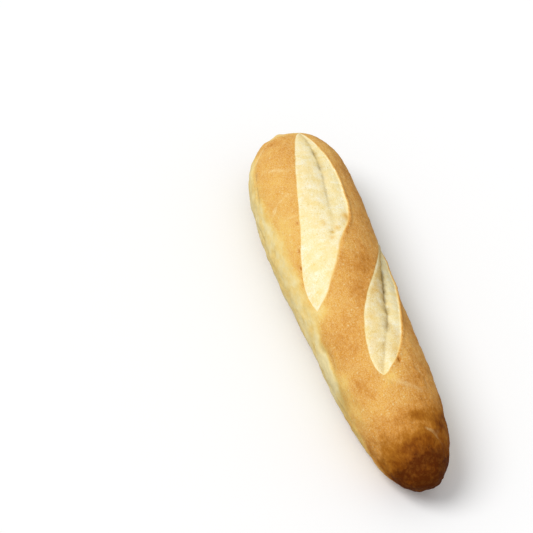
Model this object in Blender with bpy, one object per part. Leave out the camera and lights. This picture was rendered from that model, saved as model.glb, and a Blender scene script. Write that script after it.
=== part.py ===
"""A scored demi-baguette: one baked loaf that lies on its flat base.

The loaf is a single piece. A sphere is drawn out into the loaf's body, its underside is cut flat
where the dough sat on the tray, and two long pointed cutters that follow the crown open the two
slanting scores.

Frame, in metres: +X runs along the loaf from its broad end to its slim end, +Z is up, and the
origin is on the table, under the middle of the loaf's bounding box.

blender --background --python part.py
"""

import math

import bmesh
import bpy
from mathutils import Matrix, Vector

# The loaf's body
LENGTH = 0.270
MID_WIDTH = 0.061  # across the widest level, half way along
CROWN = 0.048  # height of the crown half way along
WIDEST_LEVEL = 0.020  # height above the table at which the loaf is widest
UNDERSIDE = 0.025  # how far below that level the round dough would reach, before it is cut flat
END_FULLNESS = 5.3  # 2 would be an ellipse; more makes blunter ends
SECTION_FULLNESS = 2.1  # the same, for the cross-section
WIDTH_TAPER = 0.20  # share of the width lost from the middle to the slim end
CROWN_TAPER = 0.10
BROAD_END_BEND = 0.0075  # how far the broad end curves towards +Y

# The two scores. Each runs from start to end, both (x, y) with y counted from the centreline of
# the loaf, and bows sideways by its bow. The blade leaned over, so a score is deeper towards its
# edge on the +Y side.
SCORE_DEPTH = 0.0042
MIDDLE_DEPTH_SHARE = 0.75  # depth half way across a score, as a share of SCORE_DEPTH
BLADE_LEAN = 0.5  # share of SCORE_DEPTH that the depth gains from there to the +Y edge
CUTTER_STAND = 3  # how far a cutter stands above the crust, in score depths
LONG_SCORE = {"start": (-0.118, 0.005), "end": (0.016, -0.025), "width": 0.030, "bow": 0.0075}
SHORT_SCORE = {"start": (-0.034, 0.027), "end": (0.075, -0.009), "width": 0.022, "bow": -0.001}

# How far out from the centreline the crust is followed, as a share of the half width
CRUST_REACH = 0.98

CRUST_COLOR = (0.62, 0.35, 0.11)
CRUST_ROUGHNESS = 0.5

# Mesh fineness
BODY_RINGS = 56
BODY_SEGMENTS = 44
CUTTER_RINGS = 28
CUTTER_SEGMENTS = 16
SMOOTH_ANGLE = math.radians(35)


def end_rounding(t):
    """Share of the full width left at t, which runs from -1 at the broad tip to 1 at the slim one."""
    return math.sqrt(max(0.0, 1 - abs(t) ** END_FULLNESS))


def half_width(t):
    return MID_WIDTH / 2 * (1 - WIDTH_TAPER * t) * end_rounding(t)


def rise(t):
    """Height of the crown above the widest level."""
    return (CROWN - WIDEST_LEVEL) * (1 - CROWN_TAPER * t) * end_rounding(t)


def bend(t):
    """Sideways offset of the loaf's centreline."""
    return BROAD_END_BEND * min(t, 0.0) ** 2


def signed_power(value, exponent):
    return math.copysign(abs(value) ** exponent, value)


def body_point(unit):
    """Where a point of the unit sphere goes on the loaf."""
    t = max(-1.0, min(1.0, unit.x))
    angle = math.atan2(unit.z, unit.y)
    across = signed_power(math.cos(angle), 2 / SECTION_FULLNESS)
    upward = signed_power(math.sin(angle), 2 / SECTION_FULLNESS)
    height = rise(t) if upward > 0 else UNDERSIDE * end_rounding(t)
    return Vector(
        (
            t * LENGTH / 2,
            bend(t) + across * half_width(t),
            WIDEST_LEVEL + upward * height,
        )
    )


def crust_point(x, y):
    """The point of the upper crust above (x, y), with y counted from the centreline."""
    t = 2 * x / LENGTH
    across = min(abs(y) / half_width(t), CRUST_REACH)
    upward = (1 - across**SECTION_FULLNESS) ** (1 / SECTION_FULLNESS)
    return Vector((x, bend(t) + y, WIDEST_LEVEL + upward * rise(t)))


def crust_normal(x, y, step=0.001):
    along = crust_point(x + step, y) - crust_point(x - step, y)
    across = crust_point(x, y + step) - crust_point(x, y - step)
    return along.cross(across).normalized()


def cutter_point(unit, start, end, width, bow):
    """Where a point of the unit sphere goes on a long pointed lens, bowed, that lies in the crown
    and follows it."""
    middle = (Vector(start) + Vector(end)) / 2
    half_run = (Vector(end) - Vector(start)) / 2
    sideways = Vector((-half_run.y, half_run.x)).normalized()
    narrowing = math.sqrt(max(0.0, 1 - unit.x**2))
    offset = narrowing * unit.y * width / 2 + narrowing**2 * bow
    place = middle + half_run * unit.x + sideways * offset
    if unit.z < 0:
        share_across = unit.y / narrowing if narrowing > 0 else 0.0
        reach = SCORE_DEPTH * (MIDDLE_DEPTH_SHARE + BLADE_LEAN * share_across)
    else:
        reach = CUTTER_STAND * SCORE_DEPTH
    return crust_point(*place) + crust_normal(*place) * reach * unit.z


def sphere(name, segments, rings, place):
    """A unit sphere with its poles on the X axis, each of whose points is then moved by place."""
    mesh = bpy.data.meshes.new(name)
    bm = bmesh.new()
    lying = Matrix.Rotation(math.pi / 2, 4, "Y")
    bmesh.ops.create_uvsphere(bm, u_segments=segments, v_segments=rings, radius=1, matrix=lying)
    for vert in bm.verts:
        vert.co = place(vert.co)
    return mesh, bm


def new_object(name, mesh, bm, collection):
    bmesh.ops.recalc_face_normals(bm, faces=bm.faces)
    bm.to_mesh(mesh)
    bm.free()
    obj = bpy.data.objects.new(name, mesh)
    collection.objects.link(obj)
    return obj


def new_material(name, color, roughness):
    material = bpy.data.materials.new(name)
    material.use_nodes = True
    shader = material.node_tree.nodes["Principled BSDF"]
    shader.inputs["Base Color"].default_value = (*color, 1)
    shader.inputs["Roughness"].default_value = roughness
    shader.inputs["Metallic"].default_value = 0
    return material


def make_body(collection):
    mesh, bm = sphere("baguette", BODY_SEGMENTS, BODY_RINGS, body_point)
    everything = bm.verts[:] + bm.edges[:] + bm.faces[:]
    bmesh.ops.bisect_plane(
        bm, geom=everything, plane_co=(0, 0, 0), plane_no=(0, 0, 1), clear_inner=True
    )
    rim = [edge for edge in bm.edges if edge.is_boundary]
    bmesh.ops.edgeloop_fill(bm, edges=rim)
    return new_object("baguette", mesh, bm, collection)


def make_cutter(name, score, collection):
    def place(unit):
        return cutter_point(unit, **score)

    mesh, bm = sphere(name, CUTTER_SEGMENTS, CUTTER_RINGS, place)
    cutter = new_object(name, mesh, bm, collection)
    cutter.hide_render = True
    cutter.display_type = "WIRE"
    return cutter


def cut(body, cutter):
    modifier = body.modifiers.new(cutter.name, "BOOLEAN")
    modifier.operation = "DIFFERENCE"
    modifier.solver = "EXACT"
    modifier.object = cutter


def box_middle(mesh):
    """(x, y) of the middle of a mesh's bounding box."""
    low_x, high_x = min(v.co.x for v in mesh.vertices), max(v.co.x for v in mesh.vertices)
    low_y, high_y = min(v.co.y for v in mesh.vertices), max(v.co.y for v in mesh.vertices)
    return (low_x + high_x) / 2, (low_y + high_y) / 2


def main():
    for obj in list(bpy.data.objects):
        bpy.data.objects.remove(obj)
    loaf_parts = bpy.data.collections.new("baguette")
    cutters = bpy.data.collections.new("cutters")
    for collection in (loaf_parts, cutters):
        bpy.context.scene.collection.children.link(collection)

    body = make_body(loaf_parts)
    body.data.materials.append(new_material("golden_crust", CRUST_COLOR, CRUST_ROUGHNESS))
    scores = [
        make_cutter("long_score_cutter", LONG_SCORE, cutters),
        make_cutter("short_score_cutter", SHORT_SCORE, cutters),
    ]
    for cutter in scores:
        cut(body, cutter)

    middle_x, middle_y = box_middle(body.data)
    to_origin = Matrix.Translation((-middle_x, -middle_y, 0))
    for obj in (body, *scores):
        obj.data.transform(to_origin)
        obj.data.shade_smooth()
    body.data.set_sharp_from_angle(angle=SMOOTH_ANGLE)


main()
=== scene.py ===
import math

import bmesh
import bpy
import numpy as np
from mathutils import Matrix, Vector, noise


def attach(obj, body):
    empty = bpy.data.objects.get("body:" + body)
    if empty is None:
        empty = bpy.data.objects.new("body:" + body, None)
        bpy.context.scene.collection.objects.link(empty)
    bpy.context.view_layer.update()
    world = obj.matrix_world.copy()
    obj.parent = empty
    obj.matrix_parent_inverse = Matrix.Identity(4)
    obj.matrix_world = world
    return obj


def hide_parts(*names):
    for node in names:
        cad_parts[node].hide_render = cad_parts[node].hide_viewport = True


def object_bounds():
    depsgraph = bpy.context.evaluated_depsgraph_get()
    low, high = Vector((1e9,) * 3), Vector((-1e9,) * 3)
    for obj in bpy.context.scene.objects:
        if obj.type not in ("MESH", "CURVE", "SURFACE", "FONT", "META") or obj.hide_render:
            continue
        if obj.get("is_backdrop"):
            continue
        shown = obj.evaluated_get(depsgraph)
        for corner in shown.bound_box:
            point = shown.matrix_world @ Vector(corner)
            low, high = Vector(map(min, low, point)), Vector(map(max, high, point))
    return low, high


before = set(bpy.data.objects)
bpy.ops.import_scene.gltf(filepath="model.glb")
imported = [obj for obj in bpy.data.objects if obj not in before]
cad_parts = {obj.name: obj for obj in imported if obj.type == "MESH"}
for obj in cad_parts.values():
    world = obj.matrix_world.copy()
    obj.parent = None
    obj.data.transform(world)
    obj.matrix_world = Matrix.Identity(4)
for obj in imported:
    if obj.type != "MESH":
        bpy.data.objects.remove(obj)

cad_low, cad_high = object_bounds()

# ---------------------------------------------------------------------------------------------
# The dough. A baguette is rolled out by hand from one piece of white dough, so it has no seams
# or ends of its own: a long body, broad at one end and slimmer at the other, that bends a little
# and settles flat on the tray. It is a cube cut into a cage, drawn out into the loaf and smoothed.
# ---------------------------------------------------------------------------------------------
length = 0.270
middle_width = 0.061
crown_height = 0.048
widest_level = 0.020
underside_reach = 0.025
end_fullness = 5.3
section_fullness = 2.1
width_taper = 0.20
crown_taper = 0.10
broad_end_bend = 0.0075
cage_steps = (36, 6, 6)
end_cap_share = 0.07
outline_samples = 2001
# Past this share of the half length a place counts as the very tip, where the section has no width
tip_limit = 0.9999
# How far around the skin one degree of turn counts, in metres
skin_per_degree = 0.0005


def end_rounding(t):
    """Share of the full section left at t, from -1 at the broad tip to 1 at the slim tip."""
    return np.sqrt(np.clip(1 - np.abs(t) ** end_fullness, 0, 1))


def half_width(t):
    return middle_width / 2 * (1 - width_taper * t) * end_rounding(t)


def crown_rise(t):
    """Height of the crown above the widest level."""
    return (crown_height - widest_level) * (1 - crown_taper * t) * end_rounding(t)


def bend(t):
    """How far the loaf's centreline lies to the side the broad end bends to."""
    return broad_end_bend * np.minimum(t, 0) ** 2


def signed_power(value, exponent):
    return np.sign(value) * np.abs(value) ** exponent


# How far along the loaf's outline, tip to tip, each t lies, so that the cage's rings are even
outline_t = np.sin(np.linspace(-np.pi / 2, np.pi / 2, outline_samples))
outline_x = outline_t * length / 2
outline_r = middle_width / 2 * end_rounding(outline_t)
outline_steps = np.hypot(np.diff(outline_x), np.diff(outline_r))
outline_share = np.append(0, np.cumsum(outline_steps)) / np.sum(outline_steps)


def dough_place(cube_point):
    """Where a point on the skin of the 2 m cube goes on the loaf."""
    a, b, c = cube_point
    ring = max(abs(b), abs(c))
    if abs(a) > tip_limit:
        share = end_cap_share * ring
        share = share if a < 0 else 1 - share
    else:
        share = end_cap_share + (1 - 2 * end_cap_share) * (a + 1) / 2
    t = np.interp(share, outline_share, outline_t)
    if ring == 0:
        turn = 0.0
    elif abs(c) >= abs(b):
        turn = math.copysign(math.radians(90 - 45 * b / abs(c)), c)
    else:
        turn = math.radians(45 * c / abs(b))
        turn = turn if b > 0 else math.pi - turn
    across = signed_power(math.cos(turn), 2 / section_fullness)
    upward = signed_power(math.sin(turn), 2 / section_fullness)
    height = crown_rise(t) if upward > 0 else underside_reach * end_rounding(t)
    level = widest_level + upward * height
    return Vector((t * length / 2, bend(t) + across * half_width(t), max(level, 0.0)))


bpy.ops.object.select_all(action="DESELECT")
bpy.ops.mesh.primitive_cube_add(size=2)
loaf = bpy.context.object
loaf.name = "baguette_loaf"
bpy.ops.object.mode_set(mode="EDIT")
bpy.ops.mesh.select_mode(type="EDGE")
# The edges that run along each axis are cut into even steps
for axis, steps in enumerate(cage_steps):
    bpy.ops.mesh.select_all(action="DESELECT")
    cage = bmesh.from_edit_mesh(loaf.data)
    for edge in cage.edges:
        run = edge.verts[1].co - edge.verts[0].co
        edge.select_set(abs(run[axis]) > 0.99 * run.length)
    bmesh.update_edit_mesh(loaf.data)
    bpy.ops.mesh.subdivide(number_cuts=steps - 1)
cage = bmesh.from_edit_mesh(loaf.data)
for vert in cage.verts:
    vert.co = dough_place(vert.co)
bmesh.update_edit_mesh(loaf.data)
bpy.ops.mesh.select_all(action="SELECT")
bpy.ops.mesh.normals_make_consistent(inside=False)
bpy.ops.object.mode_set(mode="OBJECT")

smooth = loaf.modifiers.new("smooth dough", "SUBSURF")
smooth.levels = 3
smooth.render_levels = 3
bpy.ops.object.modifier_apply(modifier=smooth.name)


def read_points(mesh):
    points = np.empty(len(mesh.vertices) * 3)
    mesh.vertices.foreach_get("co", points)
    return points.reshape(-1, 3)


def read_normals(mesh):
    normals = np.empty(len(mesh.vertices) * 3)
    mesh.vertices.foreach_get("normal", normals)
    return normals.reshape(-1, 3)


def write_points(mesh, points):
    mesh.vertices.foreach_set("co", points.ravel())
    mesh.update()


# The loaf fills the frame's box: same ends, same sides, same crown, base at the same level
points = read_points(loaf.data)
low, high = points.min(axis=0), points.max(axis=0)
frame_low, frame_high = np.array(cad_low), np.array(cad_high)
centreline_shift = (frame_low[1] + frame_high[1] - low[1] - high[1]) / 2
points = frame_low + (points - low) * (frame_high - frame_low) / (high - low)
write_points(loaf.data, points)


def chart(points):
    """Each point's place on the loaf's skin, in metres: along it, and around it from the crown
    line, with the side the broad end bends to positive."""
    t = np.clip(points[:, 0] * 2 / length, -tip_limit, tip_limit)
    side = (points[:, 1] - centreline_shift - bend(t)) / half_width(t)
    lift = points[:, 2] - widest_level
    lift = lift / np.where(lift > 0, crown_rise(t), underside_reach * end_rounding(t))
    turn = np.arctan2(
        signed_power(lift, section_fullness / 2), signed_power(side, section_fullness / 2)
    )
    around = np.pi / 2 - turn
    around = np.where(around > np.pi, around - 2 * np.pi, around)
    return points[:, 0], around * skin_per_degree * 180 / np.pi


def ease(value, low, high):
    """0 below low, 1 above high, and an even S between."""
    share = np.clip((value - low) / (high - low), 0, 1)
    return share * share * (3 - 2 * share)


def curve_through(knots, where):
    """A smooth curve through a few (place, value) knots, read at each place in where."""
    knot_x, knot_y = np.array(knots, dtype=float).T
    slopes = np.gradient(knot_y, knot_x)
    where = np.clip(where, knot_x[0], knot_x[-1])
    piece = np.clip(np.searchsorted(knot_x, where) - 1, 0, len(knot_x) - 2)
    gap = knot_x[piece + 1] - knot_x[piece]
    s = (where - knot_x[piece]) / gap
    return (
        (2 * s**3 - 3 * s**2 + 1) * knot_y[piece]
        + (s**3 - 2 * s**2 + s) * gap * slopes[piece]
        + (3 * s**2 - 2 * s**3) * knot_y[piece + 1]
        + (s**3 - s**2) * gap * slopes[piece + 1]
    )


def bell(distance, width):
    """1 at no distance, falling off evenly to either side."""
    return np.exp(-((distance / width) ** 2))


def grain(points, size, octaves=3, seed=0.0):
    """Smooth irregularity of about -1 to 1, with lumps of the given size."""
    offset = Vector((seed, seed * 0.7, -seed))
    return np.array(
        [noise.fractal(Vector(p) / size + offset, 1.0, 2.0, octaves) for p in points]
    )


# ---------------------------------------------------------------------------------------------
# The scores. Just before baking the crown is slashed with a blade, slantwise and at a shallow
# angle. In the oven each slash opens into a pale pointed field: a broad floor that swells from
# its left edge, a wall below the lip on its right, and a groove between the two.
# ---------------------------------------------------------------------------------------------
mm = 0.001
# Each score's edges and groove are in millimetres to the right of the line from its start to its
# end, at shares of the way along it. Depth, cleft (the groove's own extra depth) and lip are in
# millimetres too. Shade is how dark the painted shade in the groove is and shade_reach how far
# that painted shade spreads over the floor, tan is how far the floor has browned, and fade how wide
# the crumb's right edge blends into the crust.
long_score = {
    "start": (-0.119, 0.005),
    "end": (0.0155, -0.0292),
    "left": (
        (-0.055, 0), (-0.02, -2.9), (0.03, -4.3), (0.2, -4.3), (0.4, -2.9), (0.58, -2.2),
        (0.72, -3.7), (0.84, -5.2), (0.93, -3.8), (1, 0),
    ),
    "groove": (
        (-0.055, 0), (0.1, 5.6), (0.2, 8.9), (0.3, 11.2), (0.42, 13.2), (0.6, 15.8), (0.8, 9), (1, 0),
    ),
    "right": (
        (-0.055, 0), (-0.02, 1.8), (0.06, 7.4), (0.15, 13), (0.27, 18.6), (0.38, 21.6), (0.49, 24.2),
        (0.53, 24.3), (0.57, 22.9), (0.64, 20), (0.73, 18.4), (0.8, 16.2), (0.88, 12.3), (0.95, 7.2), (1, 0),
    ),
    "depth": ((0, 0.3), (0.1, 1.5), (0.25, 1.8), (0.4, 1.5), (0.55, 1.1), (0.7, 0.7), (1, 0.2)),
    "cleft": ((0, 0), (0.08, 0.6), (0.3, 0.5), (0.45, 0.25), (0.62, 0), (1, 0)),
    "lip": ((0, 0.1), (0.3, 0.5), (0.5, 0.7), (0.6, 0.3), (1, 0)),
    "shade": ((0, 0.1), (0.08, 0.5), (0.27, 0.5), (0.36, 0.22), (0.5, 0.2), (0.62, 0), (1, 0)),
    "shade_reach": 2.4,
    "tan": ((-0.03, 0.6), (0.05, 0.18), (0.3, 0.18), (0.5, 0.10), (0.7, 0), (1, 0)),
    "fade": ((0, 0.4), (0.5, 0.5), (0.62, 2.0), (0.8, 2.6), (1, 2.2)),
}
short_score = {
    "start": (-0.038, 0.034),
    "end": (0.074, -0.0085),
    "left": (
        (-0.08, 0), (0, -0.4), (0.13, -1.5), (0.25, -4.2), (0.42, -8.2), (0.55, -10.4), (0.7, -11),
        (0.85, -9.4), (0.94, -6), (0.985, -2.6), (1, 0),
    ),
    "groove": ((0, 0.5), (0.06, 2.7), (0.18, 2.6), (0.33, 2), (0.5, 2.2), (0.63, 3.1), (0.8, 1), (1, 0)),
    "right": (
        (-0.08, 0), (0, 2), (0.08, 4.8), (0.15, 7.6), (0.29, 11.8), (0.42, 11.6), (0.62, 10.4),
        (0.82, 8.8), (0.895, 6.6), (0.95, 4.1), (0.985, 2), (1, 0),
    ),
    "depth": ((0, 0.3), (0.15, 2.2), (0.35, 2.9), (0.6, 2.7), (0.8, 1.6), (1, 0.2)),
    "cleft": ((0, 0.2), (0.2, 0.9), (0.6, 0.8), (0.8, 0.25), (0.95, 0), (1, 0)),
    "lip": ((0, 0.4), (0.2, 1.0), (0.5, 0.8), (0.8, 0.5), (1, 0.1)),
    "shade": ((0, 0.6), (0.1, 0.95), (0.3, 0.85), (0.52, 0.95), (0.66, 0.7), (0.8, 0.3), (1, 0)),
    "shade_reach": 3.2,
    "tan": ((0, 1.3), (0.3, 1.3), (0.42, 1.05), (0.55, 0.55), (0.8, 0.45), (1, 0.7)),
    "fade": ((0, 0.4), (1, 0.6)),
}
scores = (long_score, short_score)
# The skin is made finer over the scores and a little around them: this many millimetres to each
# side, and between these shares of the way along
fine_margin = 3.5
fine_span = (-0.1, 1.04)
# In millimetres: how far each edge of a score blends into the crust, how far below the crust the
# crumb starts there, how wide the groove is, and how far its painted shade spreads up the right wall
left_blend = 0.35
right_blend = 0.4
edge_step = 0.5
groove_width = 1.0
wall_shade_reach = 1.7
# How late the floor and the wall turn down towards the groove: 1 would be a straight slope
floor_curve = 2.2
wall_curve = 1.5


def score_place(score, along, around):
    """How far along a score each point is, 0 to 1, and how far it is to the right of the line
    from its start to its end, in millimetres."""
    start, end = np.array(score["start"]), np.array(score["end"])
    run = end - start
    reach = np.hypot(*run)
    share = ((along - start[0]) * run[0] + (around - start[1]) * run[1]) / reach**2
    offset = ((around - start[1]) * run[0] - (along - start[0]) * run[1]) / reach
    return share, offset / mm


def within_score(score, share):
    """True between the two points where a score's edges meet."""
    return (share > score["left"][0][0]) & (share < score["left"][-1][0])


def near_scores(along, around, margin):
    """True on a score and within the margin beside it."""
    near = np.zeros(len(along), dtype=bool)
    for score in scores:
        share, offset = score_place(score, along, around)
        left = curve_through(score["left"], share) - margin
        right = curve_through(score["right"], share) + margin
        between_ends = (share > fine_span[0]) & (share < fine_span[1])
        near |= between_ends & (offset > left) & (offset < right)
    return near


# The skin is made finer where the blade went
bpy.ops.object.mode_set(mode="EDIT")
bpy.ops.mesh.select_mode(type="FACE")
bpy.ops.mesh.select_all(action="DESELECT")
skin = bmesh.from_edit_mesh(loaf.data)
centres = np.array([face.calc_center_median() for face in skin.faces])
for face, near in zip(skin.faces, near_scores(*chart(centres), fine_margin)):
    face.select_set(bool(near))
bmesh.update_edit_mesh(loaf.data)
bpy.ops.mesh.subdivide(number_cuts=1)
bpy.ops.object.mode_set(mode="OBJECT")

points = read_points(loaf.data)
normals = read_normals(loaf.data)
along, around = chart(points)
along_mm, around_mm = along / mm, around / mm
# The blade's edges are ragged, the groove wavers, and shade and cracks come and go
ragged = 0.16 * grain(points, 0.003, 3, 3.0) + 0.40 * grain(points, 0.014, 2, 9.0)
patchy = np.clip(0.6 + 0.9 * grain(points, 0.006, 3, 21.0), 0, 1.2)
uneven = 0.5 * grain(points, 0.009, 3, 31.0)

sunk = np.zeros(len(points))
raised = np.zeros(len(points))
crumb = np.zeros(len(points))
shade = np.zeros(len(points))
tan = np.zeros(len(points))
lip_bake = np.zeros(len(points))
for score in scores:
    share, offset = score_place(score, along, around)
    offset = offset + ragged
    within = within_score(score, share)
    left = curve_through(score["left"], share)
    right = curve_through(score["right"], share)
    groove = curve_through(score["groove"], share) + uneven
    depth = curve_through(score["depth"], share)
    cleft = curve_through(score["cleft"], share) * patchy
    lip = curve_through(score["lip"], share)
    fade = curve_through(score["fade"], share)
    left_edge = ease(offset, left - left_blend, left + left_blend) * within
    inside = left_edge * ease(-offset, -right - right_blend, -right + right_blend)
    # How far each place on the floor is from the left edge to the groove, and each place on the
    # wall from the right edge to the groove
    floor_share = np.clip((offset - left) / np.maximum(groove - left, 0.1), 0, 1)
    wall_share = np.clip((right - offset) / np.maximum(right - groove, 0.1), 0, 1)
    # The step down from the crust runs out towards the score's two ends
    step = edge_step * np.clip(8 * share * (1 - share), 0.15, 1)
    floor_start = 0.3 * step
    floor_depth = floor_start + (depth - floor_start) * floor_share**floor_curve
    wall_depth = step + (depth - step) * wall_share**wall_curve
    dip = np.where(offset < groove, floor_depth, wall_depth)
    dip = dip + cleft * bell(offset - groove, groove_width)
    sunk = np.maximum(sunk, inside * dip)
    crumb = np.maximum(crumb, left_edge * ease(-offset, -right - 0.5, -right + fade))
    # Painted shade darkens the groove and spreads from it over the floor and up the wall
    groove_shade = curve_through(score["shade"], share) * patchy
    shade_width = np.where(offset < groove, score["shade_reach"], wall_shade_reach)
    shade = np.maximum(shade, inside * groove_shade * bell(offset - groove, shade_width))
    # The floor browns past its left edge and as far as the groove
    floor_tan = curve_through(score["tan"], share) * ease(offset, left, left + 2.5)
    floor_tan = floor_tan * ease(-offset, -groove - 0.8, -groove + 0.8) * (0.5 + 0.6 * patchy)
    tan = np.maximum(tan, inside * floor_tan)
    # The crust stands up as a lip along the right edge, and hardly at all along the left
    past_right = offset - right
    past_left = left - offset
    ridge = lip * bell(past_right - 0.9, 1.3) * (past_right > -0.6)
    ridge = ridge + 0.10 * bell(past_left - 1.0, 1.2) * (past_left > -0.3)
    raised = np.maximum(raised, within * ridge * np.sin(np.pi * np.clip(share, 0, 1)) ** 0.5)
    lip_bake = np.maximum(lip_bake, within * bell(past_right - 0.8, 1.2))

# ---------------------------------------------------------------------------------------------
# Folds and cracks. The skin dries before the loaf stops growing, so it creases where the crown
# pulls away from the flanks, tears a little past the ends of the scores, and puckers at the tips.
# ---------------------------------------------------------------------------------------------
# Each has its line over the skin, then its shape: how deep and how wide it is, both in millimetres
# like the line, how pale it shows, and how dark the painted shade in its hollow is
folds = (
    # Where the crown's crust ends over the left flank, near the broad end
    {"line": ((-108, -32), (-94.5, -33.7), (-85.5, -35.1), (-74, -38.6)), "shape": (0.75, 0.8, 0.3, 0.55)},
    # The long crease low on the left flank
    {"line": ((-80, -52), (-67, -45), (-50, -46), (-36, -48.5), (-18, -46)), "shape": (0.5, 1.0, 0.0, 0.40)},
    {"line": ((-18, -46), (0, -44.5), (16, -44), (27, -41.5)), "shape": (0.25, 1.6, 0.0, 0.12)},
    # The bulge of white dough that pushed out further along it
    {"line": ((24, -41), (37, -37.6), (45, -35.4), (53, -37.4), (60, -43.5)), "shape": (0.6, 1.2, 0.0, 0.42)},
    # Round the broad tip
    {"line": ((-122, -4), (-126, -10), (-125, -18), (-118, -25), (-111.5, -30.7), (-104, -34.5)),
     "shape": (0.7, 1.1, 0.75, 0.2)},
    # Faint bows across the crown
    {"line": ((-98, -27), (-95, -23), (-90, -15.8), (-86, -9)), "shape": (0.16, 0.8, 0.42, 0.0)},
    {"line": ((-61, -31), (-66.5, -24.6), (-69.2, -17.6), (-67, -12)), "shape": (0.24, 0.8, 0.55, 0.0)},
    {"line": ((-54, -25), (-53, -19), (-51.5, -15)), "shape": (0.18, 0.7, 0.45, 0.0)},
    # Past the ends of the scores
    {"line": ((13.5, -33.5), (15.5, -31), (15.5, -28.5), (14.5, -26.5)), "shape": (0.5, 0.6, 0.7, 0.2)},
    {"line": ((72, -9), (77, -7.6), (82, -5.4)), "shape": (0.4, 0.6, 0.0, 0.45)},
    {"line": ((74, -6.5), (79.3, -2.4), (82.7, 1), (84.6, 4.8), (86, 9.1), (88.1, 14)),
     "shape": (0.22, 1.9, 0.24, 0.0)},
    {"line": ((70, 12), (75.5, 15.8), (82, 17.6), (88, 17)), "shape": (0.35, 1.2, 0.24, 0.12)},
    # On the slim tip
    {"line": ((110, 3), (113.1, 10.3), (116.6, 14.7), (120, 21.2)), "shape": (0.35, 0.55, 0.34, 0.0)},
    {"line": ((112.5, 9.5), (113.5, 13), (112.5, 17)), "shape": (0.3, 0.5, 0.14, 0.2)},
    # Up the right flank
    {"line": ((-60, 30), (-45, 33), (-28, 36), (-14, 35)), "shape": (0.55, 1.2, 0.12, 0.35)},
    {"line": ((-95, 25), (-84, 28), (-72, 27)), "shape": (0.4, 1.2, 0.1, 0.25)},
)
# Small pits and nicks: place and reach along and around the loaf, depth, all in millimetres, and
# browning
nicks = (
    (-46.5, -17.2, 1.3, 0.8, 0.3, 0.26),
    (-27.6, -22.8, 1.8, 1.0, 0.4, 0.32),
    (-17.2, -26.2, 2.0, 0.7, 0.4, 0.30),
    (-11.0, -28.6, 1.2, 0.6, 0.3, 0.24),
    (-7.0, -29.8, 1.0, 0.6, 0.2, 0.20),
    (65.5, 3.4, 2.4, 0.9, 0.6, 0.26),
)


def fold_place(line, along, around):
    """How far each point is from a smooth line over the skin, in millimetres, and how far along
    the line its nearest place is, 0 to 1."""
    knots = np.array(line, dtype=float)
    knot_number = np.arange(len(knots))
    fine = np.linspace(0, len(knots) - 1, 4 * len(knots))
    line_x = curve_through(np.column_stack((knot_number, knots[:, 0])), fine)
    line_y = curve_through(np.column_stack((knot_number, knots[:, 1])), fine)
    nearest = np.full(len(along), 1000.0)
    place = np.zeros(len(along))
    for piece in range(len(fine) - 1):
        run_x = line_x[piece + 1] - line_x[piece]
        run_y = line_y[piece + 1] - line_y[piece]
        off_x = along / mm - line_x[piece]
        off_y = around / mm - line_y[piece]
        share = np.clip((off_x * run_x + off_y * run_y) / (run_x**2 + run_y**2), 0, 1)
        distance = np.hypot(off_x - share * run_x, off_y - share * run_y)
        closer = distance < nearest
        nearest = np.where(closer, distance, nearest)
        place = np.where(closer, (piece + share) / (len(fine) - 1), place)
    return nearest, place


def patch(centre_along, centre_around, reach_along, reach_around):
    """A round soft patch on the skin, 1 at its centre. Its centre and its reach are given along
    and around the loaf, in millimetres."""
    along_share = (along_mm - centre_along) / reach_along
    around_share = (around_mm - centre_around) / reach_around
    return np.exp(-(along_share**2) - around_share**2)


pale_line = np.zeros(len(points))
waver = 1.0 * grain(points, 0.005, 3, 41.0)
for fold in folds:
    depth, width, pale, dark = fold["shape"]
    distance, place = fold_place(fold["line"], along, around)
    distance = np.abs(distance + waver)
    strength = ease(place, -0.02, 0.2) * ease(1 - place, -0.02, 0.2) * (1 - crumb) * patchy
    hollow = bell(distance, width)
    shoulder = bell(distance - 2.2 * width, width)
    sunk += strength * depth * (hollow - 0.2 * shoulder)
    pale_line = np.maximum(pale_line, strength * pale * bell(distance, 0.9 * width))
    # The crease's hollow is darkened with painted shade
    shade = np.maximum(shade, strength * dark * bell(distance, 0.7 * width))

# Soft shadow lines beside the bulge of the left flank
shade = np.maximum(shade, 0.30 * patch(42, -34, 12, 2.2) * (1 - crumb))
shade = np.maximum(shade, 0.34 * patch(69, -43, 10, 7))

nick_bake = np.zeros(len(points))
for nick_along, nick_around, reach_along, reach_around, nick_depth, nick_brown in nicks:
    nick = patch(nick_along, nick_around, reach_along, reach_around)
    sunk += nick_depth * nick
    nick_bake = nick_bake + nick_brown * nick

# A flap of crust at the long score's widest place, and the pit below it
flap = patch(-40, 5, 4.5, 3.2)
pit = patch(-33, -1.2, 1.6, 1.3)
raised = raised + 0.7 * flap
sunk = sunk + 0.45 * pit
# The flank is set back below the crown's crust near the broad end, and bulges further along
sunk = sunk + 1.1 * patch(-90, -47, 20, 8)
raised = raised + 0.6 * patch(45, -43, 14, 5)
# The broad tip is puckered
raised = raised + 0.8 * patch(-129, -12, 4, 4) + 0.5 * patch(-124, -26, 4, 4)
raised = raised + 0.6 * patch(-106, -38, 3, 3)
# The crumb has browned on the flap and in the pit, and on the short score's floor
tan = tan + 0.3 * flap + 0.9 * pit + 0.6 * patch(48, 9, 8, 3.5) + 0.7 * patch(60, 4, 8, 4)
tan = np.clip(tan, 0, 1)
# Shreds of crust that the tear left on the crumb: place and reach, and how much of the crust
shreds = (
    (-43.5, 9.3, 4.5, 3.0, 0.62),
    (-41.0, -4.0, 3.5, 1.5, 0.45),
    (-35.5, 2.0, 2.5, 2.0, 0.50),
    (-28.5, -2.5, 2.0, 2.0, 0.50),
)
for shred_along, shred_around, reach_along, reach_around, share_left in shreds:
    shred = share_left * patch(shred_along, shred_around, reach_along, reach_around)
    crumb = crumb * (1 - shred * (0.7 + 0.5 * patchy))
crumb = np.clip(crumb, 0, 1)

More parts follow.
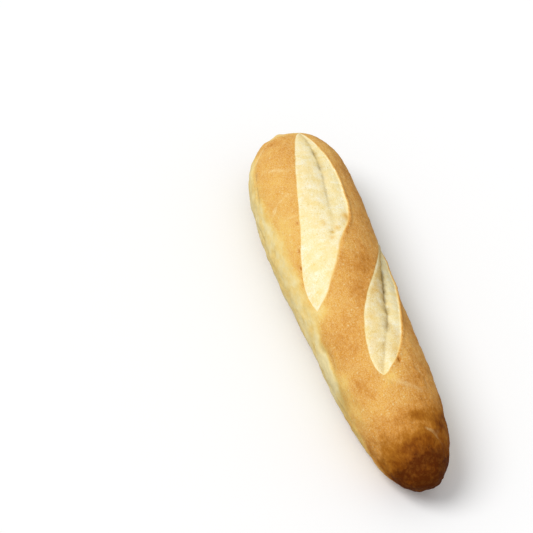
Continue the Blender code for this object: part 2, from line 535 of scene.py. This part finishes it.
# The whole skin is a little uneven, most where the loaf's outline shows it, and fine wrinkles run
# lengthwise over it. The crumb is smoother, and the base is flat.
right_strip = ease(around_mm, 16, 26)
left_strip = ease(-around_mm, 28, 38)
low_flank = ease(np.abs(around_mm), 42, 50)
swell = 0.5 * grain(points, 0.040, 2, 1.0) + 0.30 * grain(points, 0.011, 3, 5.0)
lumps = (0.14 + 0.30 * right_strip + 0.28 * left_strip) * grain(points, 0.006, 3, 13.0)
lumps = lumps + 0.5 * low_flank * grain(points * (0.4, 1, 1), 0.006, 3, 17.0)
wrinkle = 0.12 * grain(points * (0.3, 1, 1), 0.0035, 3, 7.0)
on_base = ease(-points[:, 2], -0.004, 0)
move = raised * (1 - 0.6 * crumb) - sunk
move = move + (swell + (lumps + wrinkle) * (1 - 0.6 * crumb)) * (1 - on_base)
points = points + normals * (move * mm)[:, None]
points[:, 2] = np.maximum(points[:, 2], 0)
write_points(loaf.data, points)
loaf.data.shade_smooth()

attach(loaf, "root")
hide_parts("baguette")

# ---------------------------------------------------------------------------------------------
# The bake. Heat browns the crown, most at the slim end that stood at the hot side of the oven.
# The flanks, shaded by the next loaves, stay the colour of dough, and so does the inside of the
# scores. How brown each place is goes from 0, dough, to 1, nearly black.
# ---------------------------------------------------------------------------------------------
# Where the crown's crust ends on each side: places along the loaf, and how far around the skin
# from the crown line, in millimetres
crown_edge_left = curve_through(
    (
        (-135, -62), (-127, -46), (-119, -35), (-105, -33.5), (-88, -35), (-70, -33), (-58, -31.5),
        (-20, -31.5), (5, -32), (18, -33), (30, -36), (46, -37), (60, -39), (72, -42),
        (85, -46), (100, -51), (115, -56), (130, -60),
    ),
    along_mm,
)
crown_edge_right = curve_through(
    ((-135, 62), (-125, 48), (-108, 40), (-60, 42), (0, 44), (60, 43), (100, 47), (130, 60)), along_mm
)
# Both edges wander and fade into the flanks. Beside the bulge the left one is crisper.
edge_wander = 2.6 * grain(points, 0.014, 3, 11.0)
beside_bulge = patch(42, -36, 20, 10)
edge_softness = 4.5 - 2.3 * beside_bulge
past_left_edge = around_mm + edge_wander * (1 - 0.8 * beside_bulge) - crown_edge_left
past_right_edge = crown_edge_right + edge_wander - around_mm
left_fade = ease(past_left_edge, -edge_softness, edge_softness)
right_fade = ease(past_right_edge, -6, 6)

# Where the crown is browner or paler: how much, and the patch's centre and reach
crown_patches = (
    # The band between the two scores
    (0.18, -5, 8, 45, 14),
    (0.10, 14, -2, 8, 5),
    (-0.08, -21, 3, 10, 4),
    # To the left of the scores
    (0.08, -105, -8, 22, 12),
    (0.10, -118, -20, 4, 8),
    (-0.12, -45, -24, 28, 8),
    (0.12, 40, -22, 14, 12),
    # To their right
    (0.14, -70, 28, 60, 12),
    (0.12, 60, 28, 40, 14),
    # The pale strip past the long score's lower end
    (-0.10, 4, -32, 12, 4),
    (-0.34, 15, -27.5, 7.5, 5.5),
    # Around the lower end of the short score
    (-0.16, 76, -5, 6, 5),
    (0.05, 80, 0, 7, 8),
    (0.14, 75, -23, 11, 9),
    (0.16, 79, 12, 12, 9),
    # Past the bulge of the left flank
    (-0.20, 64, -35, 7, 4),
    (-0.14, 77, -39, 10, 5),
    # On the way to the slim end
    (0.07, 86, -4, 6, 7),
    (0.06, 94, 8, 10, 9),
    (0.08, 104, 0, 7, 6),
    (-0.05, 115, -32, 5, 10),
)
crown_bake = 0.50 + 0.05 * grain(points, 0.016, 2, 51.0)
for change, centre_along, centre_around, reach_along, reach_around in crown_patches:
    crown_bake = crown_bake + change * patch(centre_along, centre_around, reach_along, reach_around)
# The slim end is darkest, and its browning starts earlier on the right. The broad tip is pale.
slim_end = along_mm + 0.42 * np.maximum(around_mm, 0)
slim_tip = along_mm + 0.10 * np.abs(around_mm + 12)
crown_bake = crown_bake + 0.38 * ease(slim_end, 83, 123) + 0.17 * ease(slim_tip, 119, 131)
crown_bake = crown_bake + 0.09 * grain(points, 0.008, 3, 81.0) * ease(along_mm, 88, 112)
crown_bake = crown_bake - 0.22 * ease(-along_mm, 122, 127.5)
flank_bake = 0.10 + 0.20 * ease(along_mm, 58, 78) + 0.64 * ease(along_mm, 94, 130) ** 1.3
flank_bake = flank_bake + 0.11 * ease(along_mm, 126, 134) + 0.25 * ease(-along_mm, 112, 130)
flank_bake = flank_bake - 0.20 * patch(47, -42, 13, 6)
flank_bake = flank_bake + 0.10 * grain(points, 0.012, 3, 61.0)
flank_bake = flank_bake + 0.10 * grain(points * (0.5, 1, 1), 0.004, 3, 71.0)
bake = flank_bake + (crown_bake - flank_bake) * left_fade * right_fade
# The underside browned evenly on the tray
underside = ease(-points[:, 2], -0.006, -0.001)
bake = bake + underside * (0.42 - 0.4 * bake)
bake = bake + 0.05 * lip_bake + nick_bake

# What baking did to each place, and the painted shade of the grooves and creases, is kept on the mesh, for
# the material to read
bake_and_painted_shade = {"bake": bake, "crumb": crumb, "shade": shade, "tan": tan, "pale_line": pale_line}
for name, values in bake_and_painted_shade.items():
    layer = loaf.data.attributes.new(name, "FLOAT", "POINT")
    layer.data.foreach_set("value", values.astype(np.float32))

crust = bpy.data.materials.new("golden crust")
crust.use_nodes = True
nodes = crust.node_tree.nodes
join = crust.node_tree.links.new
shader = nodes["Principled BSDF"]


def baked_or_painted_shade(name):
    """What the mesh keeps under this name, at each place."""
    reader = nodes.new("ShaderNodeAttribute")
    reader.attribute_name = name
    return reader.outputs["Fac"]


skin_place = nodes.new("ShaderNodeTexCoord").outputs["Object"]


def stretched(scale, turn=0.0):
    """Places on the skin stretched so that a pattern runs lengthwise or across."""
    mapping = nodes.new("ShaderNodeMapping")
    mapping.inputs["Scale"].default_value = scale
    mapping.inputs["Rotation"].default_value = (0, 0, turn)
    join(skin_place, mapping.inputs["Vector"])
    return mapping.outputs["Vector"]


def cloud(scale, detail, roughness, place=None):
    """Soft noise over the skin. The larger the scale, the smaller its lumps."""
    texture = nodes.new("ShaderNodeTexNoise")
    texture.inputs["Scale"].default_value = scale
    texture.inputs["Detail"].default_value = detail
    texture.inputs["Roughness"].default_value = roughness
    join(place or skin_place, texture.inputs["Vector"])
    return texture.outputs["Fac"]


def combine(operation, first, second=None, third=None):
    """The result of a maths node. Each value is a number or another node's output."""
    maths = nodes.new("ShaderNodeMath")
    maths.operation = operation
    for socket, value in zip(maths.inputs, (first, second, third)):
        if value is None:
            continue
        if isinstance(value, (int, float)):
            socket.default_value = value
        else:
            join(value, socket)
    return maths.outputs["Value"]


def remap(value, from_low, from_high, to_low, to_high):
    ranged = nodes.new("ShaderNodeMapRange")
    ranged.clamp = True
    ranged.inputs["From Min"].default_value = from_low
    ranged.inputs["From Max"].default_value = from_high
    ranged.inputs["To Min"].default_value = to_low
    ranged.inputs["To Max"].default_value = to_high
    join(value, ranged.inputs["Value"])
    return ranged.outputs["Result"]


def color_scale(value, stops):
    """A colour for each value, by its place between the (value, colour) stops."""
    ramp = nodes.new("ShaderNodeValToRGB")
    elements = ramp.color_ramp.elements
    elements[0].position, elements[0].color = stops[0][0], (*stops[0][1], 1)
    elements[1].position, elements[1].color = stops[-1][0], (*stops[-1][1], 1)
    for position, color in stops[1:-1]:
        elements.new(position).color = (*color, 1)
    join(value, ramp.inputs["Fac"])
    return ramp.outputs["Color"]


def blend_colors(amount, first, second, kind="MIX"):
    mix = nodes.new("ShaderNodeMix")
    mix.data_type = "RGBA"
    mix.blend_type = kind
    join(amount, mix.inputs[0])
    # For colours the node's inputs are its sockets 6 and 7, and its result is socket 2
    for socket, value in ((mix.inputs[6], first), (mix.inputs[7], second)):
        if isinstance(value, tuple):
            socket.default_value = (*value, 1)
        else:
            join(value, socket)
    return mix.outputs[2]


def cells(scale):
    """A pattern of small cells over the skin."""
    texture = nodes.new("ShaderNodeTexVoronoi")
    texture.inputs["Scale"].default_value = scale
    join(skin_place, texture.inputs["Vector"])
    return texture


# Browning, with its mottling: soft patches, brushed streaks along the loaf and a fine tooth
soft_mottle = cloud(120, 5, 0.55)
fine_mottle = cloud(480, 4, 0.65)
streaks = cloud(1, 4, 0.6, stretched((120, 480, 480)))
fine_streaks = cloud(1, 3, 0.6, stretched((330, 1200, 1200)))
brown = baked_or_painted_shade("bake")
mottle = combine("MULTIPLY_ADD", soft_mottle, 0.28, -0.14)
for texture, swing in ((fine_mottle, 0.24), (streaks, 0.16), (fine_streaks, 0.22)):
    mottle = combine("ADD", mottle, combine("MULTIPLY_ADD", texture, swing, -swing / 2))
mottle = combine("MULTIPLY", mottle, remap(brown, 0.05, 0.35, 0.7, 1.0))
mottle = combine("MULTIPLY", mottle, remap(brown, 0.62, 0.80, 1.0, 0.55))
browned = combine("ADD", brown, mottle)
crust_color = color_scale(
    browned,
    (
        (0.0, (0.87, 0.75, 0.40)),
        (0.15, (0.85, 0.64, 0.23)),
        (0.30, (0.82, 0.53, 0.130)),
        (0.45, (0.76, 0.41, 0.080)),
        (0.60, (0.67, 0.305, 0.046)),
        (0.70, (0.58, 0.235, 0.030)),
        (0.80, (0.41, 0.150, 0.013)),
        (0.90, (0.24, 0.066, 0.003)),
        (1.0, (0.11, 0.022, 0.001)),
    ),
)

# Dry skin shows as a pale grain and as tiny blisters, except where the crust is darkest
dry = remap(browned, 0.58, 0.80, 1.0, 0.0)
pale_grain = remap(cloud(1500, 2, 0.6), 0.40, 0.70, 0.0, 0.46)
crust_color = blend_colors(combine("MULTIPLY", pale_grain, dry), crust_color, (0.90, 0.70, 0.36))
blister_cells = cells(430)
blister_dot = remap(blister_cells.outputs["Distance"], 0.10, 0.32, 1.0, 0.0)
blister_pick = nodes.new("ShaderNodeSeparateColor")
join(blister_cells.outputs["Color"], blister_pick.inputs["Color"])
blister = combine("MULTIPLY", blister_dot, remap(blister_pick.outputs["Red"], 0.55, 0.95, 0.0, 1.0))
blister_amount = combine("MULTIPLY", combine("MULTIPLY", blister, 0.65), dry)
crust_color = blend_colors(blister_amount, crust_color, (0.91, 0.72, 0.36))
crust_color = blend_colors(baked_or_painted_shade("pale_line"), crust_color, (0.91, 0.74, 0.38))
# Where it is darkest the skin has drawn into fine wrinkles with lighter backs
wrinkle_lines = remap(cloud(320, 4, 0.65), 0.46, 0.70, 0.0, 0.28)
wrinkle_amount = combine("MULTIPLY", wrinkle_lines, remap(browned, 0.66, 0.86, 0.0, 1.0))
crust_color = blend_colors(wrinkle_amount, crust_color, (0.42, 0.16, 0.02))

# The crumb in the scores, with a fine grain, pores darkened with painted shade, and tears across
tears = cloud(1, 4, 0.65, stretched((420, 110, 420), math.radians(-16)))
crumb_soft = combine("MULTIPLY", cloud(150, 4, 0.5), 0.42)
crumb_mottle = combine("ADD", crumb_soft, combine("MULTIPLY", tears, 0.3))
crumb_grain = cloud(1300, 3, 0.7)
crumb_mottle = combine("ADD", crumb_mottle, combine("MULTIPLY", crumb_grain, 0.34))
crumb_color = color_scale(
    crumb_mottle,
    (
        (0.36, (0.88, 0.67, 0.25)),
        (0.46, (0.93, 0.79, 0.42)),
        (0.55, (0.96, 0.88, 0.59)),
        (0.66, (0.97, 0.94, 0.76)),
    ),
)
grain_tan = remap(cloud(1500, 2, 0.6), 0.32, 0.58, 0.62, 0.0)
crumb_color = blend_colors(grain_tan, crumb_color, (0.86, 0.65, 0.22))
pore_dot = remap(cells(620).outputs["Distance"], 0.08, 0.24, 1.0, 0.0)
pore = combine("MULTIPLY", pore_dot, remap(cloud(260, 2, 0.5), 0.50, 0.66, 0.0, 0.75))
# Painted shade in the crumb's pores
crumb_color = blend_colors(pore, crumb_color, (0.55, 0.42, 0.20))
golden = remap(cloud(180, 4, 0.6), 0.50, 0.64, 0.0, 0.55)
crumb_color = blend_colors(golden, crumb_color, (0.95, 0.75, 0.34))
tan_amount = combine("MULTIPLY", baked_or_painted_shade("tan"), remap(crumb_grain, 0.38, 0.60, 1.0, 0.65))
crumb_color = blend_colors(tan_amount, crumb_color, (0.74, 0.55, 0.26), "MULTIPLY")
# From crust to crumb the skin passes through a thin golden rim
how_open = baked_or_painted_shade("crumb")
skin_color = blend_colors(remap(how_open, 0.05, 0.5, 0.0, 1.0), crust_color, (0.84, 0.55, 0.17))
skin_color = blend_colors(remap(how_open, 0.35, 0.9, 0.0, 1.0), skin_color, crumb_color)
# Painted shade darkens the grooves, the hollows of the creases and the shadow lines beside the flank's bulge
skin_color = blend_colors(baked_or_painted_shade("shade"), skin_color, (0.46, 0.40, 0.30), "MULTIPLY")
join(skin_color, shader.inputs["Base Color"])

roughness = remap(how_open, 0, 1, 0.58, 0.85)
join(roughness, shader.inputs["Roughness"])
shader.inputs["Specular IOR Level"].default_value = 0.05

# The finest relief: blisters stand proud, and pores go in
relief = combine("MULTIPLY", cloud(800, 5, 0.7), 0.5)
for texture, rise in ((blister, 0.4), (streaks, 0.5), (fine_streaks, 0.4), (tears, 0.25), (pore, -0.5)):
    relief = combine("ADD", relief, combine("MULTIPLY", texture, rise))
bump = nodes.new("ShaderNodeBump")
bump.inputs["Strength"].default_value = 0.7
bump.inputs["Distance"].default_value = 0.0006
join(relief, bump.inputs["Height"])
join(bump.outputs["Normal"], shader.inputs["Normal"])
loaf.data.materials.append(crust)

# ---------------------------------------------------------------------------------------------
# The table: a plain white sheet that the loaf lies on, far wider than the view. It reflects less
# light onto the loaf than it shows, so that the flanks keep their depth.
# ---------------------------------------------------------------------------------------------
bpy.ops.object.select_all(action="DESELECT")
bpy.ops.mesh.primitive_plane_add(size=2)
table = bpy.context.object
table.name = "table_top"
bpy.ops.transform.resize(value=(30, 30, 1))
bpy.ops.object.transform_apply(location=False, rotation=False, scale=True)


def seen_and_felt(tree, seen, felt, surface):
    """Join two shaders to a surface: the camera sees one, and the loaf is lit by the other."""
    ray_kind = tree.nodes.new("ShaderNodeLightPath")
    either = tree.nodes.new("ShaderNodeMixShader")
    tree.links.new(ray_kind.outputs["Is Camera Ray"], either.inputs["Fac"])
    tree.links.new(felt, either.inputs[1])
    tree.links.new(seen, either.inputs[2])
    tree.links.new(either.outputs["Shader"], surface)


table_white = bpy.data.materials.new("white table")
table_white.use_nodes = True
table_nodes = table_white.node_tree.nodes
table_shader = table_nodes["Principled BSDF"]
table_shader.inputs["Base Color"].default_value = (0.95, 0.95, 0.95, 1)
table_shader.inputs["Roughness"].default_value = 1.0
table_shader.inputs["Specular IOR Level"].default_value = 0.0
dim_shader = table_nodes.new("ShaderNodeBsdfDiffuse")
dim_shader.inputs["Color"].default_value = (0.38, 0.37, 0.35, 1)
seen_and_felt(
    table_white.node_tree,
    seen=table_shader.outputs["BSDF"],
    felt=dim_shader.outputs["BSDF"],
    surface=table_nodes["Material Output"].inputs["Surface"],
)
table.data.materials.append(table_white)
table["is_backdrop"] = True

# ---------------------------------------------------------------------------------------------
# Camera and light. The camera looks down on the loaf from beyond its slim end, through a long
# lens, a little tilted and aimed to the loaf's left. The light is soft and comes from the left.
# ---------------------------------------------------------------------------------------------
view_azimuth = math.radians(64)
view_elevation = math.radians(46)
view_roll = math.radians(10.66)
view_distance = 1.282
loaf_middle = Vector((0, -0.0021, 0.0216))
aim_left = 0.0462
aim_up = 0.0207

back = Vector((
    math.sin(view_azimuth) * math.cos(view_elevation),
    -math.cos(view_azimuth) * math.cos(view_elevation),
    math.sin(view_elevation),
))
level_right = Vector((math.cos(view_azimuth), math.sin(view_azimuth), 0))
level_up = back.cross(level_right)
right = level_right * math.cos(view_roll) + level_up * math.sin(view_roll)
up = level_up * math.cos(view_roll) - level_right * math.sin(view_roll)

camera_data = bpy.data.cameras.new("view")
camera_data.lens = 150
camera_data.sensor_width = 36
camera_data.clip_start = 0.05
camera_data.clip_end = 100
camera = bpy.data.objects.new("view", camera_data)
bpy.context.scene.collection.objects.link(camera)
camera.location = loaf_middle + back * view_distance - right * aim_left + up * aim_up
camera.rotation_euler = Matrix((right, up, back)).transposed().to_euler()
bpy.context.scene.camera = camera

# The room is white to look at, and dimmer as a light
world = bpy.data.worlds.new("room")
world.use_nodes = True
world_nodes = world.node_tree.nodes
room_light = world_nodes["Background"]
room_light.inputs["Color"].default_value = (1, 1, 1, 1)
room_light.inputs["Strength"].default_value = 0.62
white_wall = world_nodes.new("ShaderNodeBackground")
white_wall.inputs["Color"].default_value = (1, 1, 1, 1)
white_wall.inputs["Strength"].default_value = 1.0
seen_and_felt(
    world.node_tree,
    seen=white_wall.outputs["Background"],
    felt=room_light.outputs["Background"],
    surface=world_nodes["World Output"].inputs["Surface"],
)
bpy.context.scene.world = world

toward_key = Vector((-0.12, -0.60, 0.79)).normalized()
key_data = bpy.data.lights.new("key light", "SUN")
key_data.angle = math.radians(35)
key_data.energy = 1.75
key = bpy.data.objects.new("key light", key_data)
bpy.context.scene.collection.objects.link(key)
key.location = toward_key
key.rotation_euler = toward_key.to_track_quat("Z", "Y").to_euler()

bpy.context.scene.view_settings.view_transform = "Standard"

low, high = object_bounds()
